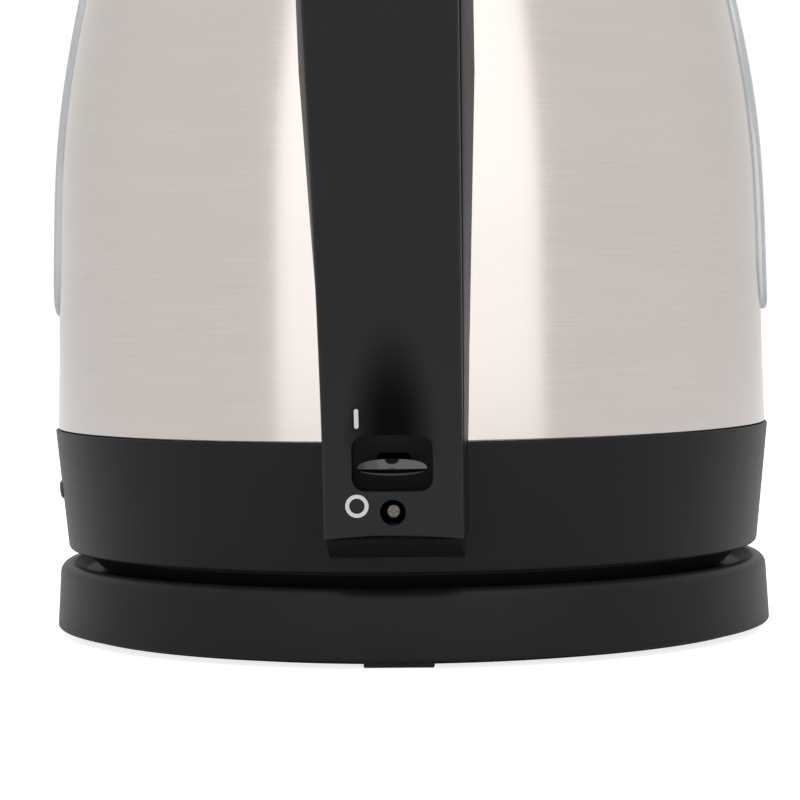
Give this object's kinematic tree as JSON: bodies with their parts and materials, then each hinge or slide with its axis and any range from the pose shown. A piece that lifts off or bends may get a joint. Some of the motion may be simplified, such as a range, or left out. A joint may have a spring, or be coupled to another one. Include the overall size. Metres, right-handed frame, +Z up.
{
  "type": "electric kettle",
  "caption": "Cordless electric kettle: brushed steel jug with black collar, handle and flip lid on a round swivel power base.",
  "frame": {"origin": "on the vertical axis of the power base, at table level", "axes": "+Z up, +Y towards the spout, -Y towards the handle, +X to the right seen from the handle"},
  "size_m": [0.1512, 0.208, 0.2216],
  "materials": {
    "black_housing": "fine matte moulded polypropylene, near black",
    "gloss_black": "glossy moulded black plastic",
    "inner_plastic": "glass-filled nylon, dark grey",
    "brushed_steel": "stainless steel, brushed round the body",
    "bright_steel": "plain stainless steel",
    "aluminium": "rolled aluminium",
    "brass": "turned brass contacts",
    "zinc_screw": "zinc plated steel",
    "window": "translucent water window",
    "silicone": "translucent silicone",
    "foot_rubber": "black rubber",
    "wire": "silicone insulated wire",
    "lamp_lens": "dark red tinted lens",
    "lamp_glass": "small glow lamp"
  },
  "bodies": {
    "base": {"base_cover": "black_housing", "base_bottom_plate": "black_housing", "foot_ring": "foot_rubber", "base_screws": "zinc_screw", "base_socket": "black_housing", "base_contacts": "brass", "base_leads": "wire", "cord_inlet": "gloss_black", "cord_clamp": "inner_plastic", "clamp_screws": "zinc_screw"},
    "turning_ring": {"socket_shutter": "inner_plastic"},
    "jug": {"steel_body": "brushed_steel", "spout": "brushed_steel", "rim_ring": "black_housing", "heater_plate": "bright_steel", "heat_diffuser": "aluminium", "heating_element": "bright_steel", "safety_discs": "brass", "control_unit": "inner_plastic", "control_contacts": "brass", "collar": "black_housing", "bottom_cover": "black_housing", "bottom_screws": "zinc_screw", "window_left": "window", "window_right": "window", "window_seal_left": "silicone", "window_seal_right": "silicone", "handle_cover": "black_housing", "handle_inner": "black_housing", "handle_screws": "zinc_screw", "steam_tube": "silicone", "steam_switch": "inner_plastic", "steam_disc": "brass", "trip_pin": "zinc_screw", "switch_pin": "zinc_screw", "switch_bracket": "inner_plastic", "switch_leads": "wire", "pilot_lens": "lamp_lens", "pilot_lamp": "lamp_glass", "lid_hinge_pin": "bright_steel", "lid_spring": "bright_steel"},
    "switch": {"switch_lever": "gloss_black"},
    "trip": {"trip_lever": "inner_plastic"},
    "lid": {"lid_cover": "black_housing", "lid_inlay": "brushed_steel", "lid_inner": "black_housing", "lid_seal": "silicone"},
    "lid_button": {"lid_button": "gloss_black", "button_springs": "bright_steel"},
    "latch": {"lid_latch": "inner_plastic"},
    "filter": {"filter_frame": "inner_plastic", "filter_mesh": "bright_steel"}
  },
  "joints": [
    {"name": "jug_turn", "type": "hinge", "parent": "base", "child": "turning_ring", "pos_m": [0, 0, 0.0145], "axis": [0, 0, 1], "continuous": true},
    {"name": "jug_lift", "type": "slide", "parent": "turning_ring", "child": "jug", "axis": [0, 0, 1], "range_m": [0, 0.1]},
    {"name": "switch_throw", "type": "hinge", "parent": "jug", "child": "switch", "pos_m": [0, -0.079, 0.0397], "axis": [-1, 0, 0], "range_deg": [0, 11]},
    {"name": "trip_swing", "type": "hinge", "parent": "jug", "child": "trip", "pos_m": [0, -0.082, 0.054], "axis": [-1, 0, 0], "range_deg": [-7, 0]},
    {"name": "lid_hinge", "type": "hinge", "parent": "jug", "child": "lid", "pos_m": [0, -0.057, 0.2115], "axis": [1, 0, 0], "range_deg": [0, 75]},
    {"name": "button_press", "type": "slide", "parent": "lid", "child": "lid_button", "axis": [0, 0, -1], "range_m": [0, 0.003], "stiffness_N_per_m": 400, "springref_m": -0.002, "deforming": ["button_springs"]},
    {"name": "latch_draw", "type": "slide", "parent": "lid", "child": "latch", "axis": [0, -1, 0], "range_m": [0, 0.003]},
    {"name": "filter_pull", "type": "slide", "parent": "jug", "child": "filter", "axis": [0, -1, 0], "range_m": [0, 0.012]}
  ],
  "couplings": [
    {"joint": "latch_draw", "follows": "button_press", "ratio": 1},
    {"joint": "trip_swing", "follows": "switch_throw", "ratio": -0.6}
  ]
}
